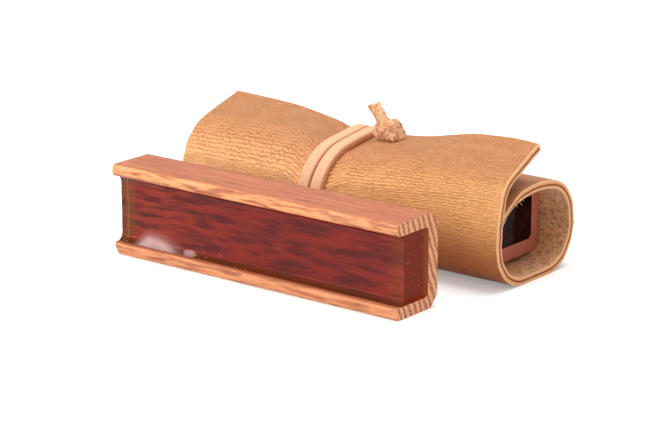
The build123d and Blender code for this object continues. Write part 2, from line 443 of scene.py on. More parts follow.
@dataclass(frozen=True)
class Suede:
    """The napped lining: brown fibres in tufts, darker between them."""

    tuft: Triple = (0.97, 0.50, 0.225)
    root: Triple = (0.48, 0.19, 0.08)
    tip: Triple = (0.97, 0.70, 0.48)

    def make(self) -> bpy.types.Material:
        """Build the material.

        Returns:
            The material.
        """
        finish = Finish("suede_lining")
        drift = finish.flat_cloud((1, 1), 2.2)
        clump = finish.cloud(finish.shift(finish.flat((1.2, 1.2)), drift, 3.0), 1.3, 4.0, 0.8)
        across, along = (
            finish.cloud(finish.shift(finish.flat(stretch), drift, way), 0.55, 2.5)
            for stretch, way in (((2.6, 0.8), 5.0), ((0.8, 2.6), -5.0))
        )
        strand = across.most(along)
        nap = clump * 0.5 + strand * 0.5
        colour = finish.mix(nap.ramp(0.42, 0.57), self.root, self.tuft)
        colour = finish.mix(strand.ramp(0.58, 0.70) * 0.85, colour, self.tip)
        return finish.close(
            colour, 0.95, nap * 0.9, Sheen_Weight=0.25, Sheen_Roughness=0.6,
            Sheen_Tint=(1.0, 0.8, 0.65, 1.0), Specular_IOR_Level=0.1,
        )


@dataclass(frozen=True)
class LaceLeather:
    """Pale natural tan lace, with fine pores on its face and redder fibres on its sides."""

    name: str = "lace_leather"
    face: Triple = (0.77, 0.455, 0.265)
    side: Triple = (0.66, 0.31, 0.155)
    pore: Triple = (0.44, 0.19, 0.085)
    fibre: float = 0.22

    def make(self) -> bpy.types.Material:
        """Build the material.

        Returns:
            The material.
        """
        finish = Finish(self.name)
        pores = finish.solid_cloud((1, 1, 1), 0.28).ramp(0.57, 0.68)
        streak = finish.cloud(finish.flat((0.3, 2.2), "lace"), 0.8, 3.0)
        edge = finish.value_of("side").ramp(0.25, 0.8)
        colour = finish.mix(edge * 0.85, self.face, self.side)
        colour = finish.mix(streak.ramp(0.40, 0.72) * self.fibre, colour, self.side)
        colour = finish.mix(pores * 0.6, colour, self.pore)
        bump = 0.05 * streak - 0.05 * pores
        return finish.close(colour, 0.62, bump, Specular_IOR_Level=0.25, Sheen_Weight=0.08)


@dataclass(frozen=True)
class KnotLeather:
    """The lace's rough flesh side, turned out by the knot: coarse fibres, with painted shade in the creases.
    """

    name: str
    fibre: Triple = (0.68, 0.335, 0.165)
    root: Triple = (0.30, 0.10, 0.045)
    pale: Triple = (0.82, 0.46, 0.26)
    rough: float = 0.30

    def make(self) -> bpy.types.Material:
        """Build the material; the crease value that the mesh carries sets its painted shade.

        Returns:
            The material.
        """
        finish = Finish(self.name)
        drift = finish.solid_cloud((1, 1, 1), 1.6)
        where = finish.shift(finish.place((1, 1, 0.45)), drift, 1.4)
        strand = finish.cloud(where, 0.75, 4.0)
        crease = finish.value_of("crease")
        colour = finish.mix(strand.ramp(0.34, 0.66), self.fibre, self.pale)
        colour = finish.mix(strand.ramp(0.50, 0.34) * 0.75, colour, self.root)
        # painted shade: darker where the mesh's crease value is high
        colour = finish.mix(crease * 0.75, colour, self.root)
        return finish.close(colour, 0.85, self.rough * strand, Specular_IOR_Level=0.15, Sheen_Weight=0.15)


@dataclass(frozen=True)
class TroughWood:
    """Oiled reddish wood: long grain along the bar, slanting rows of pores on its sawn ends."""

    name: str
    striped: float = 1.0
    pale: Triple = (0.575, 0.19, 0.085)
    mid: Triple = (0.425, 0.118, 0.051)
    dark: Triple = (0.20, 0.045, 0.022)
    # the flame figure's colour, which also paints light from the front
    flame_and_front_light: Triple = (0.91, 0.38, 0.155)
    end_pale: Triple = (1.0, 0.44, 0.21)
    end_dark: Triple = (0.32, 0.09, 0.05)
    row_pitch: float = 2.05
    row_lean: float = 23.0

    def make(self) -> bpy.types.Material:
        """Build the material: streaks along the bar, flames on its front edges lightened by painted light,
        rows on its ends.

        Returns:
            The material.
        """
        finish = Finish(self.name)
        drift = finish.solid_cloud((0.05, 0.3, 0.3), 1.0)
        along = finish.shift(finish.place((0.03, 1.3, 1.3)), drift, 1.8)
        streak = finish.cloud(along, 0.9, 4.0)
        band = finish.solid_cloud((0.02, 0.5, 0.5), 2.0)
        pores = finish.solid_cloud((0.08, 2.8, 2.8), 0.8, 3.0).ramp(0.55, 0.68)
        grain = finish.mix(streak.ramp(0.36, 0.64), self.mid, self.pale)
        _, across, height = finish.axes()
        # front-facing faces, more so higher up: flame figure, partly as painted light from the front
        front = (0 - finish.facing(1)).ramp(0.35, 0.8) * (0.7 + 0.3 * height.ramp(5.0, 15.0))
        tongue = finish.cloud(finish.shift(finish.place((0.10, 1, 0.9)), drift, 2.6), 0.9, 3.0)
        grain = finish.mix(front * tongue.ramp(0.36, 0.56), grain, self.flame_and_front_light)
        grain = finish.mix(band.ramp(0.5, 0.75) * 0.3, grain, self.dark)
        grain = finish.mix(pores * (0.6 - 0.2 * front), grain, self.dark)
        lean = radians(self.row_lean)
        rows = across * cos(lean) + height * sin(lean) + finish.solid_cloud((0, 1, 1), 5.0) * 1.6
        row = (rows * (2 * pi / self.row_pitch)).wave() * 0.5 + 0.5
        speck = finish.solid_cloud((0.2, 1.6, 1), 0.42)
        share = row.ramp(0.34, 0.70) * (0.30 + 0.70 * speck.ramp(0.42, 0.56)) * self.striped
        share = share.most(speck.ramp(0.58, 0.70) * 0.5)
        end_grain = finish.mix(share, self.end_pale, self.end_dark)
        sawn = finish.facing(0).size().ramp(0.7, 0.9)
        colour = finish.mix(sawn, grain, end_grain)
        height_of = 0.05 * streak - 0.06 * pores - sawn * share * 0.1
        return finish.close(colour, 0.5, height_of, Specular_IOR_Level=0.4)


@dataclass(frozen=True)
class CastRosin:
    """Cast rosin, dark red and glossy: the wood behind it shows as wavy grain."""

    name: str
    glow: Triple = (0.225, 0.0135, 0.0055)
    deep: Triple = (0.095, 0.0065, 0.005)
    foot: Triple = (0.11, 0.030, 0.008)
    amber: Triple = (0.36, 0.105, 0.012)
    olive: Triple = (0.17, 0.062, 0.016)
    rust: Triple = (0.36, 0.045, 0.014)
    brown: Triple = (0.23, 0.030, 0.009)
    # pale colour of the painted reflection at the lower left, of the hazy patch and of the bubbles
    reflection_haze_and_bubbles: Triple = (0.78, 0.56, 0.52)
    start: float = 0.0
    dressed: bool = True
    coat: float = 0.42
    left_line: float = 2.6
    foot_top: float = 5.2
    # where the painted reflection lies, in mm
    reflection_middle: float = 11.5
    reflection_foot: float = 3.6
    reflection_height: float = 5.2
    patch: tuple[float, float] = (26.0, 4.2)
    bubble_pitch: float = 1.25

    def make(self) -> bpy.types.Material:
        """Build the material; places are in mm from the bar's left end and from its foot.

        Returns:
            The material.
        """
        finish = Finish(self.name)
        drift = finish.solid_cloud((0.05, 0.2, 0.2), 1.0)
        grain = finish.cloud(finish.shift(finish.place((0.075, 0.60, 0.60)), drift, 2.6), 1.0, 3.0)
        blotch = finish.solid_cloud((0.04, 0.2, 0.2), 1.0)
        colour = finish.mix((grain * 0.7 + blotch * 0.3).ramp(0.38, 0.62), self.deep, self.glow)
        sheen = self.coat
        if self.dressed:
            colour = self.lay_reflection_and_bubbles(finish, self.stain(finish, colour, grain))
            dull_foot = 0.12 + 0.88 * finish.axes()[2].ramp(4.6, 5.8)
            sheen = self.coat * dull_foot * (1 - 0.6 * self.end_face(finish))
        return finish.close(colour, 0.1, None, Coat_Weight=sheen, Coat_Roughness=0.05, Specular_IOR_Level=0.0)

    def end_face(self, finish: Finish) -> Signal:
        """1 on the cake's right end face and 0 elsewhere."""
        return finish.facing(0).ramp(0.6, 0.9)

    def stain(self, finish: Finish, colour: Signal, grain: Signal) -> Signal:
        """Lay the rusty streaks, the amber ends and the dark foot over the cake.

        Args:
            finish: the material in making.
            colour: the cake's own colour.
            grain: its grain, which frays the marks.

        Returns:
            The stained colour.
        """
        x, y, z = finish.axes()
        x = x - self.start
        fray = (grain - 0.5) * 3.0
        end_face = self.end_face(finish)
        left = (x + fray).ramp(7.5, 1.8) * (x + fray * 0.3).ramp(-1.0, 1.6)
        line = (x + fray * 0.4 - self.left_line).size().ramp(0.5, 0.1)
        right = (x + fray).ramp(93.5, 98.0) * (1 - end_face)
        foot = (z + fray * 0.1).ramp(self.foot_top, self.foot_top - 1.1) * (1 - end_face)
        for share, stain in (
            (x.ramp(45.0, 8.0) * grain.ramp(0.40, 0.60) * 0.35, self.rust),
            (left * 0.6, self.olive),
            (line * 0.4, self.amber),
            (right * 0.15, self.amber),
            (end_face * 0.70, self.brown),
            (end_face * y.ramp(-27.5, -24.3) * 0.55, self.amber),
            (foot * 0.7, self.foot),
        ):
            colour = finish.mix(share, colour, stain)
        return colour

    def lay_reflection_and_bubbles(self, finish: Finish, colour: Signal) -> Signal:
        """Lay a painted reflection at the lower left, the hazy patch beside it and the bubbles over the cake.

        Args:
            finish: the material in making.
            colour: the stained colour.

        Returns:
            The colour with the painted reflection, the patch and the bubbles.
        """
        x, _, z = finish.axes()
        x = x - self.start
        end_face = self.end_face(finish)
        cloud = finish.solid_cloud((0.35, 1, 0.8), 1.6, 3.0)
        # painted reflection at the lower left: a dome with a brighter core
        arch = 1 - ((x - self.reflection_middle) / 14.0).most((self.reflection_middle - x) / 6.5) ** 2.0
        under = arch * self.reflection_height + self.reflection_foot - z + (cloud - 0.5) * 0.8
        dome = under.ramp(-0.4, 3.2) * arch.ramp(0.0, 0.3)
        core = (under - 1.8).ramp(0.0, 2.4) * arch.ramp(0.1, 0.8) * (0.7 + 0.6 * (cloud - 0.5))
        patch_x, patch_z = self.patch
        inside = 1 - ((x - patch_x) / 3.0) ** 2.0 - ((z - patch_z) / 1.2) ** 2.0
        patch = (inside + (cloud - 0.5) * 1.2).ramp(0.0, 1.0)
        # painted reflection, with the hazy patch
        reflection_haze_and_bubbles = (dome * 0.20 + core * 0.62).most(patch * 0.42)
        colour = finish.mix(reflection_haze_and_bubbles * (1 - end_face), colour, self.reflection_haze_and_bubbles)
        dots = finish.cells(finish.place((0.7, 1, 1)), self.bubble_pitch).ramp(0.15, 0.09)
        rows = dots * z.ramp(7.5, 4.0) * x.ramp(55.0, 40.0)
        chips = dots * end_face * cloud.ramp(0.5, 0.62)
        return finish.mix(rows.most(chips) * 0.55, colour, self.reflection_haze_and_bubbles)


@dataclass(frozen=True)
class Ground:
    """The pale floor: white to the camera, with the object's soft shadow."""

    colour: Triple = (0.8, 0.8, 0.8)
    lift: float = 0.28

    def make(self) -> bpy.types.Material:
        """Build the material.

        Returns:
            The material.
        """
        finish = Finish("floor_white")
        seen = seen_by_camera(finish.tree)
        matte = finish.node("BsdfDiffuse", {}, {"Color": (*self.colour, 1.0)})
        lamp = finish.node("Emission", {}, {"Color": (1.0, 1.0, 1.0, 1.0), "Strength": seen * self.lift})
        return finish.show(finish.node("AddShader", {}, {0: matte, 1: lamp}))


# Meshes


def select_only(piece: Piece) -> None:
    """Make one object the active and only selected one.

    Args:
        piece: that object.
    """
    for other in bpy.context.selected_objects:
        other.select_set(False)
    bpy.context.view_layer.objects.active = piece
    piece.select_set(True)


@contextmanager
def editing(piece: Piece) -> Iterator[None]:
    """Stay in edit mode on one piece, with its whole mesh selected at first.

    Args:
        piece: the piece.
    """
    select_only(piece)
    bpy.ops.object.mode_set(mode="EDIT")
    bpy.ops.mesh.select_all(action="SELECT")
    yield
    bpy.ops.object.mode_set(mode="OBJECT")


def places(piece: Piece) -> np.ndarray:
    """Read the mesh's points.

    Args:
        piece: the piece.

    Returns:
        Its points, one row each.
    """
    found = np.empty(len(piece.data.vertices) * 3)
    piece.data.vertices.foreach_get("co", found)
    return found.reshape(-1, 3)


def move_points(piece: Piece, points: np.ndarray) -> None:
    """Put the mesh's points where the rows say."""
    piece.data.vertices.foreach_set("co", points.ravel())
    piece.data.update()


def carry(piece: Piece, name: str, values: np.ndarray) -> None:
    """Keep a number at each of the mesh's points, for its material."""
    kept = piece.data.attributes.get(name) or piece.data.attributes.new(name, "FLOAT", "POINT")
    kept.data.foreach_set("value", values.astype(np.float32))


def lay_flat_map(piece: Piece, name: str, across: np.ndarray, along: np.ndarray) -> None:
    """Give the mesh a UV map of its flat cut, from two places per point in metres.

    Args:
        piece: the piece.
        name: the map's name.
        across: each point's place across the map.
        along: each point's place up the map.
    """
    layer = piece.data.uv_layers.new(name=name)
    corner = np.empty(len(piece.data.loops), dtype=int)
    piece.data.loops.foreach_get("vertex_index", corner)
    spread = np.stack([across[corner], along[corner]], axis=1) / (FLAT_UNIT * MM)
    layer.data.foreach_set("uv", spread.ravel())


def apply_modifier(piece: Piece, kind: str, **settings: object) -> None:
    """Add a modifier, set it and apply it.

    Args:
        piece: the piece.
        kind: the modifier's type.
        settings: its settings by name.
    """
    select_only(piece)
    added = piece.modifiers.new(kind.lower(), kind)
    for name, value in settings.items():
        setattr(added, name, value)
    bpy.ops.object.modifier_apply(modifier=added.name)


def smooth_by_angle(piece: Piece, angle: float) -> None:
    """Shade the piece smooth but for edges sharper than an angle in degrees."""
    select_only(piece)
    bpy.ops.object.shade_smooth_by_angle(angle=radians(angle))


def ripple(points: np.ndarray, size: float, seed: float) -> np.ndarray:
    """Smooth noise from about -1 to 1 at each point, with features of a size in metres."""
    return np.array([noise.noise(Vector(point) / size + Vector((seed, -seed, 2 * seed))) for point in points])


def rise(values: np.ndarray, low: float, high: float) -> np.ndarray:
    """The share, from 0 at low to 1 at high, of the way that each value has come."""
    return np.clip((values - low) / (high - low), 0, 1)


def read_rows(rows: np.ndarray, stops: np.ndarray, spots: np.ndarray) -> np.ndarray:
    """Rows of a table read between its stops."""
    return np.column_stack([np.interp(spots, stops, column) for column in rows.T])


def unit_rows(rows: np.ndarray) -> np.ndarray:
    """Rows scaled to length 1."""
    return rows / np.linalg.norm(rows, axis=1)[:, None]


def cut_strip(
    name: str,
    size: tuple[float, float],
    middle: tuple[float, float],
    depths: tuple[float, float],
    cells: tuple[int, int],
    rounding: float,
) -> Piece:
    """Cut a flat strip of leather with its edges rounded over.

    Args:
        name: the piece's name.
        size: its size along X and Y, in mm.
        middle: the place of its middle.
        depths: the heights of its two faces.
        cells: how many cells it has each way.
        rounding: the width of the rounding at its edges.

    Returns:
        The flat piece, in millimetres.
    """
    bpy.ops.object.select_all(action="DESELECT")
    bpy.ops.mesh.primitive_grid_add(x_subdivisions=cells[0], y_subdivisions=cells[1], size=1)
    piece = bpy.context.object
    piece.name = piece.data.name = name
    with editing(piece):
        bpy.ops.transform.resize(value=(*size, 1))
        bpy.ops.transform.translate(value=(*middle, depths[0]))
        bpy.ops.mesh.extrude_region_move(TRANSFORM_OT_translate={"value": (0, 0, depths[1] - depths[0])})
    face_outwards(piece)
    apply_modifier(piece, "BEVEL", width=rounding, segments=2, limit_method="ANGLE", angle_limit=radians(60))
    return piece


def face_outwards(piece: Piece) -> None:
    """Turn a closed piece's faces outwards."""
    with editing(piece):
        bpy.ops.mesh.normals_make_consistent(inside=False)


def join_up(parts: list[Piece], name: str) -> Piece:
    """Join pieces into one.

    Args:
        parts: the pieces; the first keeps its place.
        name: the joined piece's name.

    Returns:
        The joined piece.
    """
    select_only(parts[0])
    for part in parts:
        part.select_set(True)
    bpy.ops.object.join()
    parts[0].name = parts[0].data.name = name
    return parts[0]


def finish_piece(piece: Piece, body: Body, slot: Slot, *nodes: str) -> None:
    """Ride the piece on its body and hide the CAD nodes that it takes the place of.

    Args:
        piece: the finished piece.
        body: the body that it moves with.
        slot: not used.
        nodes: the CAD nodes that it takes the place of.
    """
    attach(piece, body.value)
    if nodes:
        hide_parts(*nodes)
    LOG.info("%s rides on %s, %d faces", piece.name, body.value, len(piece.data.polygons))


# The leather roll


@dataclass(frozen=True)
class Station:
    """How the strip lies at one place along the roll, in millimetres and degrees."""

    x: float
    base: float = -0.1
    thick: float = 2.4
    low_front: float = 11.0
    low_back: float = 9.2
    lean_radius: float = 20.6
    lean_turn: float = 20.0
    shoulder_radius: float = 13.6
    shoulder_turn: float = 47.0
    flap: float = 14.0
    high_back: float = 9.0
    top_turn: float = 0.0
    start_turn: float = 16.5
    curl: float = 0.0


@dataclass
class LeatherRoll:
    """The strip of leather, cut flat in two plies and rolled round the bar.

    The lace draws it in about lace_middle. Near the right mouth its start edge curls up by lip_turn, is
    lip_grown longer and is skived to a share of its thickness.
    """

    ply_inner: float = 1.1
    ply_outer: float = 1.3
    glue_gap: float = 0.03
    start_radius: float = 43.0
    start_reach: float = 17.3
    lip_run: float = 0.6
    lip_grown: float = 7.4
    lip_turn: float = 58.0
    skive: float = 4.0
    skived: float = 0.45
    left_flare: float = 0.6
    mouth_flare: float = 0.4
    wall_drop: float = 11.0
    top: float = 25.0
    lace_middle: float = -8.15
    pinch_left: float = -12.8
    pinch_right: float = -3.3
    along_cells: int = 170
    round_cells: int = 190
    edge_round: float = 0.22
    edge_band: float = 0.35
    ragged_band: float = 0.5
    hairs: int = 130
    hair_length: float = 1.0
    sheet: float = field(init=False)
    rim: float = field(init=False)
    front: float = field(init=False)
    back: float = field(init=False)
    crown: float = field(init=False)
    stations: list[Station] = field(init=False)

    def __post_init__(self) -> None:
        """Read the roll's reach from the frame and set its stations along X."""
        low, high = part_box("wrap_leather")
        self.sheet = self.ply_inner + self.ply_outer
        self.rim = high.x / MM
        self.front = low.y / MM + self.sheet
        self.back = high.y / MM - self.sheet
        self.crown = self.front + self.start_reach
        pinch = Station(
            self.pinch_left, base=1.5, thick=2.0, low_front=7.0, low_back=5.0, start_turn=9.0,
            lean_radius=12.6, shoulder_radius=12.6, shoulder_turn=62.5, flap=14.6,
        )
        hole = Station(
            2.2, thick=2.2, lean_radius=24, lean_turn=19, shoulder_radius=9, shoulder_turn=60, flap=14.0
        )
        right = Station(
            34.2, lean_radius=36, lean_turn=17, shoulder_radius=8.5, shoulder_turn=49.7, flap=14.5,
            high_back=10.8, top_turn=12.0,
        )
        self.stations = [
            Station(-self.rim, shoulder_turn=52.5, flap=15.2),
            Station(-34.2, shoulder_turn=57.2, flap=14.2),
            Station(-18.2, base=0.05, shoulder_radius=12.0, shoulder_turn=65.2, flap=13.5),
            pinch,
            replace(pinch, x=self.pinch_right),
            hole,
            replace(hole, x=7.4),
            Station(16.8, lean_radius=28, lean_turn=18, shoulder_radius=9.5, shoulder_turn=60.5, flap=12.5),
            right,
            replace(right, x=38.0, lean_radius=37, shoulder_radius=8.3, shoulder_turn=49.0, curl=0.3),
            replace(
                right, x=47.0, lean_radius=40, lean_turn=16.5, shoulder_radius=8.0, shoulder_turn=47.7,
                curl=0.8, low_back=9.8, top_turn=11.0,
            ),
            replace(
                right, x=self.rim, lean_radius=42, lean_turn=16, shoulder_radius=7.6, shoulder_turn=47.7,
                flap=13.8, curl=1.0, low_back=10.5, top_turn=13.0,
            ),
        ]

    def along(self, name: str, x: np.ndarray) -> np.ndarray:
        """A station's value at each place along the roll, eased from one station to the next.

        Args:
            name: the station's field.
            x: the places, in mm.

        Returns:
            The values there.
        """
        stops = [stop.x for stop in self.stations]
        values = [getattr(stop, name) for stop in self.stations]
        ease = 1.0 + 1.6 * rise(np.abs(x - self.lace_middle), 7.0, 19.0)
        spread = np.linspace(-2, 2, 9)
        weights = np.exp(-0.5 * spread**2)
        total = sum(share * np.interp(x + d * ease, stops, values) for d, share in zip(spread, weights))
        return total / weights.sum()

    def stretches(self, x: np.ndarray) -> list[tuple[np.ndarray, np.ndarray]]:
        """Runs of the strip's inner face, as lengths and turns in radians at each place along the roll.

        Args:
            x: the places, in mm.

        Returns:
            A length and a turn for each run, from the start edge to the flap.
        """
        names = ("base", "thick", "low_front", "low_back", "high_back", "curl")
        base, thick, low_front, low_back, high_back, curl = (self.along(name, x) for name in names)
        names = ("lean_turn", "shoulder_turn", "start_turn", "top_turn")
        lean, shoulder, start, top_turn = (np.radians(self.along(name, x)) for name in names)
        floor = base + thick
        none = np.zeros_like(x)
        corner = pi / 2
        lip = self.lip_run / self.start_radius
        top_turn = np.maximum(top_turn, 1e-4)
        back = self.back + self.mouth_flare * curl
        across = back - self.crown - high_back * (1 - np.sin(top_turn))
        bow = across / np.sin(top_turn)
        drop = bow * (1 - np.cos(top_turn)) + high_back * np.cos(top_turn)
        return [
            (self.lip_run + self.lip_grown * curl, lip + radians(self.lip_turn) * curl),
            (self.start_radius * (start - lip), start - lip),
            (bow * top_turn, top_turn),
            (high_back * (corner - top_turn), corner - top_turn),
            (self.top - drop - floor - low_back, none),
            (low_back * corner, corner + none),
            (back - self.front - low_back - low_front, none),
            (low_front * corner, corner + none),
            (self.top - self.wall_drop - floor - low_front, none),
            (self.along("lean_radius", x) * lean, lean),
            (self.along("shoulder_radius", x) * shoulder, shoulder),
            (self.along("flap", x), none),
        ]

    def nominal(self) -> list[float]:
        """Lengths of the runs in the flat cut."""
        return [float(length[0]) for length, _ in self.stretches(np.array([self.rim * 0.5]))]

    def arc(
        self,
        at: tuple[np.ndarray, ...],
        length: np.ndarray,
        turn: np.ndarray,
        share: np.ndarray | float = 1.0,
    ) -> tuple[np.ndarray, ...]:
        """Follow a share of a run that turns clockwise.

        Args:
            at: y, z and heading at its start.
            length: the whole run's length.
            turn: the whole run's turn in radians, less than zero to go back along a run.
            share: the share that is followed.

        Returns:
            The y, z and heading there.
        """
        y, z, heading = at
        ahead = heading - share * turn
        radius = length / np.abs(turn)
        over = radius * (np.sin(heading) - np.sin(ahead))
        down = radius * (np.cos(heading) - np.cos(ahead))
        return y + over, z - down, ahead

    def roll(self, flat: np.ndarray) -> np.ndarray:
        """Roll flat places round the bar.

        Args:
            flat: rows of the place along the roll, along the strip and through its thickness, in mm.

        Returns:
            Rows of places in the frame, in metres.
        """
        x, run, depth = flat.T
        runs = self.stretches(x)
        at = (np.full_like(x, self.crown), np.full_like(x, self.top), np.zeros_like(x))
        for length, turn in (runs[1], runs[0]):
            at = self.arc(at, length, -turn)
        found = np.stack([x, x, x], axis=1)
        passed = 0.0
        for index, ((length, turn), nominal) in enumerate(zip(runs, self.nominal())):
            share = (run - passed) / nominal
            inside = share >= 0 if index else share >= -1
            turn = np.maximum(turn, 1e-6)
            y, z, heading = self.arc(at, length, turn, share)
            found[inside, 1] = (y - depth * np.sin(heading))[inside]
            found[inside, 2] = (z + depth * np.cos(heading))[inside]
            at = self.arc(at, length, turn)
            passed += nominal
        found[:, 2] = np.maximum(found[:, 2], 0.0)
        return found * MM

    def relief(self, x: np.ndarray, run: np.ndarray) -> np.ndarray:
        """How far the leather swells or sinks off its plain course, in mm.

        Args:
            x: places along the roll.
            run: places along the strip.

        Returns:
            The height off the course at each place.
        """
        points = np.stack([x * 0.7, run, np.zeros_like(x)], axis=1)
        swell = 0.16 * ripple(points, 13.0, 3.1) * rise(np.abs(x - self.lace_middle), 6.5, 12.5)
        past = x - self.pinch_right
        puckers = 0.13 * np.sin((run - 0.35 * x) * 1.1) * rise(past, 12.0, 0.0) * rise(past, 0.0, 2.0)
        return swell + puckers

    def paint(self, piece: Piece, length: float, finishes: tuple[bpy.types.Material, ...]) -> None:
        """Give a flat ply its face's finish, and its edges' to the faces beside them.

        Args:
            piece: the flat ply.
            length: the strip's length, in mm.
            finishes: the face's and the edge's.
        """
        for finish in finishes:
            piece.data.materials.append(finish)
        for polygon in piece.data.polygons:
            x, run, _ = polygon.center
            inside = abs(x) <= self.rim - self.edge_band and self.edge_band < run < length - self.edge_band
            polygon.material_index = 0 if inside else 1

    def build(self) -> None:
        """Cut, roll and dress both plies, and fray the inner one's start."""
        grain, suede = GrainLeather().make(), Suede().make()
        outer_edge = CutEdge("outer_ply_edge", (0.80, 0.36, 0.15), (0.92, 0.54, 0.29)).make()
        inner_edge = CutEdge("inner_ply_edge", (0.80, 0.37, 0.17), (0.88, 0.51, 0.29)).make()
        glue = self.ply_inner - self.glue_gap
        plies = (
            ("wrap_grain_ply", self.ply_inner, self.sheet, (grain, outer_edge), Slot.GRAIN, "wrap_leather"),
            ("wrap_suede_ply", glue, 0.0, (suede, inner_edge), Slot.SUEDE, "wrap_lining"),
        )
        length = sum(self.nominal())
        cells = (self.along_cells, self.round_cells)
        for name, glued, face, finishes, slot, node in plies:
            depths = (min(glued, face), max(glued, face))
            piece = cut_strip(name, (2 * self.rim, length), (0, length / 2), depths, cells, self.edge_round)
            x, run, depth = places(piece).T
            lay_flat_map(piece, "flat", x * MM, run * MM)
            carry(piece, "depth", (depth - glued) / (face - glued))
            self.paint(piece, length, finishes)
            ragged = 0.16 * ripple(np.stack([x, run, 0 * x], axis=1), 2.2, 7.7)
            ends = (run < self.ragged_band) | (run > length - self.ragged_band)
            x = x + np.where(np.abs(x) > self.rim - self.ragged_band, ragged, 0)
            run = run + np.where(ends, ragged, 0)
            thinned = self.skived + (1 - self.skived) * rise(run, 0.0, self.skive)
            squeeze = self.along("thick", x) / self.sheet * (1 + self.along("curl", x) * (thinned - 1))
            x = x - self.left_flare * rise(-x, 50.0, 56.0)
            depth = depth * squeeze + self.relief(x, run)
            move_points(piece, self.roll(np.stack([x, run, depth], axis=1)))
            smooth_by_angle(piece, 40)
            finish_piece(piece, Body.ROLL, slot, node)
        self.fray()

    def fray(self) -> None:
        """Loose pale fibres along the inner start edge near the right mouth."""
        chance = np.random.default_rng(4)
        hairs = []
        for _ in range(self.hairs):
            x = self.rim - 0.2 - 11.0 * chance.random() ** 1.5
            root = self.roll(np.array([[x, 0.1 + 5.0 * chance.random() ** 2, 0.3 * chance.random()]]))[0]
            bpy.ops.object.select_all(action="DESELECT")
            bpy.ops.mesh.primitive_cone_add(
                vertices=3, radius1=0.07 * MM, radius2=0.02 * MM, depth=self.hair_length * MM
            )
            hair = bpy.context.object
            aim = Vector((chance.normal(0, 0.6), 0.5 + chance.normal(0, 0.5), -0.8 + chance.normal(0, 0.4)))
            reach = 0.7 + 1.1 * chance.random()
            turn = aim.to_track_quat("Z", "Y").to_matrix().to_4x4()
            hair.data.transform(Matrix.Translation((0, 0, 0.45 * self.hair_length * MM)))
            hair.data.transform(Matrix.Translation(root) @ turn @ Matrix.Diagonal((1, 1, reach, 1)))
            hairs.append(hair)
        piece = join_up(hairs, "start_edge_fray")
        move_points(piece, np.maximum(places(piece), [-1, -1, 0]))
        fibres = KnotLeather("frayed_fibres", (0.86, 0.62, 0.45), pale=(0.95, 0.80, 0.66))
        piece.data.materials.append(fibres.make())
        finish_piece(piece, Body.ROLL, Slot.SUEDE)


# The stage


@dataclass
class Camera:
    """The camera, solved from the corners of the bar in front; its places are in mm."""

    target: Triple = (16.73, -28.1, 19.57)
    azimuth: float = 38.24
    elevation: float = 16.01
    distance: float = 644.6
    lens: float = 132.7
    sensor: float = 36.0
    far_clip: float = 20.0

    def build(self) -> None:
        """Place the camera and make it the scene's."""
        around, up = radians(self.azimuth), radians(self.elevation)
        back = Vector((sin(around) * cos(up), -cos(around) * cos(up), sin(up)))
        data = bpy.data.cameras.new("view")
        data.lens = self.lens
        data.sensor_width = self.sensor
        data.clip_end = self.far_clip
        camera = bpy.data.objects.new("view", data)
        bpy.context.scene.collection.objects.link(camera)
        camera.location = (Vector(self.target) + back * self.distance) * MM
        camera.rotation_euler = back.to_track_quat("Z", "Y").to_euler()
        bpy.context.scene.camera = camera


@dataclass(frozen=True)
class Lamp:
    """A soft square lamp that looks at the object, in metres and watts."""

    name: str
    place: Triple
    size: float
    power: float

    def build(self) -> None:
        """Add the lamp."""
        data = bpy.data.lights.new(self.name, "AREA")
        data.size = self.size
        data.energy = self.power
        lamp = bpy.data.objects.new(self.name, data)
        bpy.context.scene.collection.objects.link(lamp)
        lamp.location = self.place
        lamp.rotation_euler = Vector(self.place).to_track_quat("Z", "Y").to_euler()


@dataclass
class Studio:
    """Floor, world and lamps."""

    floor_size: float = 6.0
    world_level: float = 0.62
    lamps: tuple[Lamp, ...] = (
        Lamp("key", (0.12, 0.08, 1.0), 0.7, 7.4),
        Lamp("fill", (-0.45, -1.0, 0.6), 0.9, 10.5),
    )

    def build(self) -> None:
        """Make the floor, the world and the lamps."""
        bpy.ops.object.select_all(action="DESELECT")
        bpy.ops.mesh.primitive_plane_add(size=self.floor_size)
        floor = bpy.context.object
        floor.name = "floor"
        floor.data.materials.append(Ground().make())
        world = bpy.data.worlds.new("studio")
        bpy.context.scene.world = world
        world.use_nodes = True
        tree = world.node_tree
        tree.nodes.clear()
        back = tree.nodes.new("ShaderNodeBackground")
        level = self.world_level + (1.0 - self.world_level) * seen_by_camera(tree)
        tree.links.new(level.socket, back.inputs["Strength"])
        out = tree.nodes.new("ShaderNodeOutputWorld")
        tree.links.new(back.outputs[0], out.inputs["Surface"])
        for lamp in self.lamps:
            lamp.build()
        bpy.context.scene.view_settings.view_transform = "Standard"


# The lace


